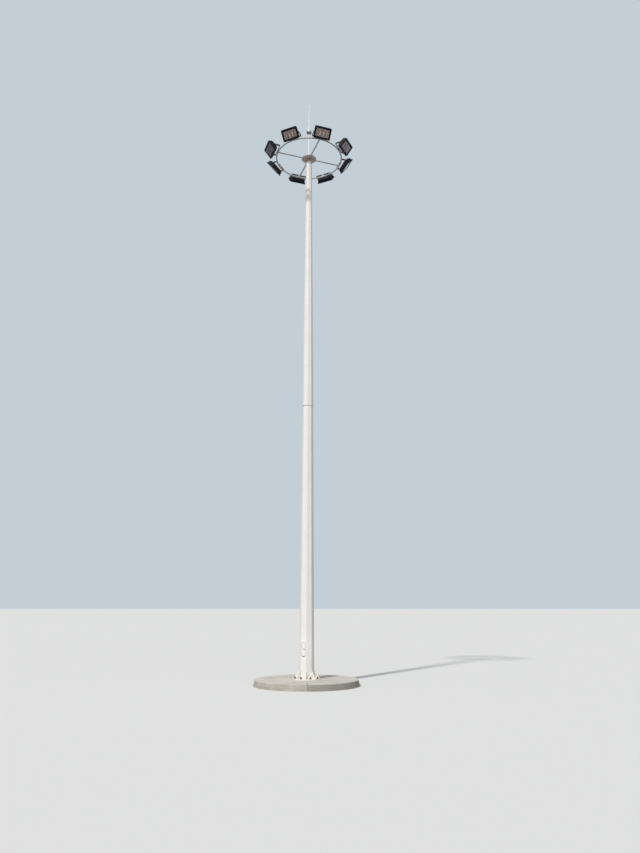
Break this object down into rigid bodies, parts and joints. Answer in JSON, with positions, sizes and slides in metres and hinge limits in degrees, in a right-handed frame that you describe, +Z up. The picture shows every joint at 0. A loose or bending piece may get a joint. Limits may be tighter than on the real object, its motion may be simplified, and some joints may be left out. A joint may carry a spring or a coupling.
{
  "type": "high mast floodlight tower",
  "caption": "Tapered octagonal steel mast on a round concrete plinth, with a ring of floodlights on yokes, a hand-hole door and a lightning rod.",
  "frame": {"origin": "centre of the plinth's underside, on the ground", "axes": "+Z up along the mast, the hand-hole door faces -Y"},
  "size_m": [2.1654, 2.1654, 13.732],
  "materials": {
    "concrete": "rendered concrete, matt",
    "white_painted_steel": "cream white paint on galvanised steel",
    "weathered_bolt_steel": "weathered, dark brown",
    "plated_steel": "zinc plated",
    "black_strap_steel": "black powder coat",
    "black_cast_aluminium": "black powder coat",
    "lamp_glass": "clear toughened glass",
    "reflector_aluminium": "satin anodised",
    "polished_stainless": "mirror polished",
    "rod_aluminium": "satin"
  },
  "bodies": {
    "mast": {"plinth": "concrete", "anchor_bolts": "weathered_bolt_steel", "base_flange": "white_painted_steel", "base_gussets": "white_painted_steel", "lower_shaft_foot": "white_painted_steel", "lower_shaft": "white_painted_steel", "hand_hole_frame": "white_painted_steel", "door_hinge_lugs": "white_painted_steel", "upper_shaft": "white_painted_steel", "head_plate": "white_painted_steel", "head_ribs": "white_painted_steel", "lamp_ring": "white_painted_steel", "spokes": "white_painted_steel", "ring_brackets": "white_painted_steel", "floodlight_yokes": "black_strap_steel", "rod_stem": "white_painted_steel", "rod_ball": "polished_stainless", "rod_tip": "rod_aluminium"},
    "hand_hole_door": {"hand_hole_door": "white_painted_steel", "door_lock": "plated_steel"},
    "floodlight_1": {"floodlight_1_housing": "black_cast_aluminium", "floodlight_1_glass": "lamp_glass", "floodlight_1_led_reflector": "reflector_aluminium"},
    "floodlight_2": {"floodlight_2_housing": "black_cast_aluminium", "floodlight_2_glass": "lamp_glass", "floodlight_2_led_reflector": "reflector_aluminium"},
    "floodlight_3": {"floodlight_3_housing": "black_cast_aluminium", "floodlight_3_glass": "lamp_glass", "floodlight_3_led_reflector": "reflector_aluminium"},
    "floodlight_4": {"floodlight_4_housing": "black_cast_aluminium", "floodlight_4_glass": "lamp_glass", "floodlight_4_led_reflector": "reflector_aluminium"},
    "floodlight_5": {"floodlight_5_housing": "black_cast_aluminium", "floodlight_5_glass": "lamp_glass", "floodlight_5_led_reflector": "reflector_aluminium"},
    "floodlight_6": {"floodlight_6_housing": "black_cast_aluminium", "floodlight_6_glass": "lamp_glass", "floodlight_6_led_reflector": "reflector_aluminium"},
    "floodlight_7": {"floodlight_7_housing": "black_cast_aluminium", "floodlight_7_glass": "lamp_glass", "floodlight_7_led_reflector": "reflector_aluminium"},
    "floodlight_8": {"floodlight_8_housing": "black_cast_aluminium", "floodlight_8_glass": "lamp_glass", "floodlight_8_led_reflector": "reflector_aluminium"}
  },
  "joints": [
    {"name": "door_hinge", "type": "hinge", "parent": "mast", "child": "hand_hole_door", "pos_m": [-0.047, -0.14894, 0.69705], "axis": [0, 0.0064, 1], "range_deg": [-110, 0]},
    {"name": "floodlight_1_tilt", "type": "hinge", "parent": "mast", "child": "floodlight_1", "pos_m": [0.95, 0, 12.18], "axis": [0, 1, 0], "range_deg": [-40, 30]},
    {"name": "floodlight_2_tilt", "type": "hinge", "parent": "mast", "child": "floodlight_2", "pos_m": [0.67175, 0.67175, 12.18], "axis": [-0.7071, 0.7071, 0], "range_deg": [-40, 30]},
    {"name": "floodlight_3_tilt", "type": "hinge", "parent": "mast", "child": "floodlight_3", "pos_m": [0, 0.95, 12.18], "axis": [-1, 0, 0], "range_deg": [-40, 30]},
    {"name": "floodlight_4_tilt", "type": "hinge", "parent": "mast", "child": "floodlight_4", "pos_m": [-0.67175, 0.67175, 12.18], "axis": [-0.7071, -0.7071, 0], "range_deg": [-40, 30]},
    {"name": "floodlight_5_tilt", "type": "hinge", "parent": "mast", "child": "floodlight_5", "pos_m": [-0.95, 0, 12.18], "axis": [0, -1, 0], "range_deg": [-40, 30]},
    {"name": "floodlight_6_tilt", "type": "hinge", "parent": "mast", "child": "floodlight_6", "pos_m": [-0.67175, -0.67175, 12.18], "axis": [0.7071, -0.7071, 0], "range_deg": [-40, 30]},
    {"name": "floodlight_7_tilt", "type": "hinge", "parent": "mast", "child": "floodlight_7", "pos_m": [0, -0.95, 12.18], "axis": [1, 0, 0], "range_deg": [-40, 30]},
    {"name": "floodlight_8_tilt", "type": "hinge", "parent": "mast", "child": "floodlight_8", "pos_m": [0.67175, -0.67175, 12.18], "axis": [0.7071, 0.7071, 0], "range_deg": [-40, 30]}
  ]
}
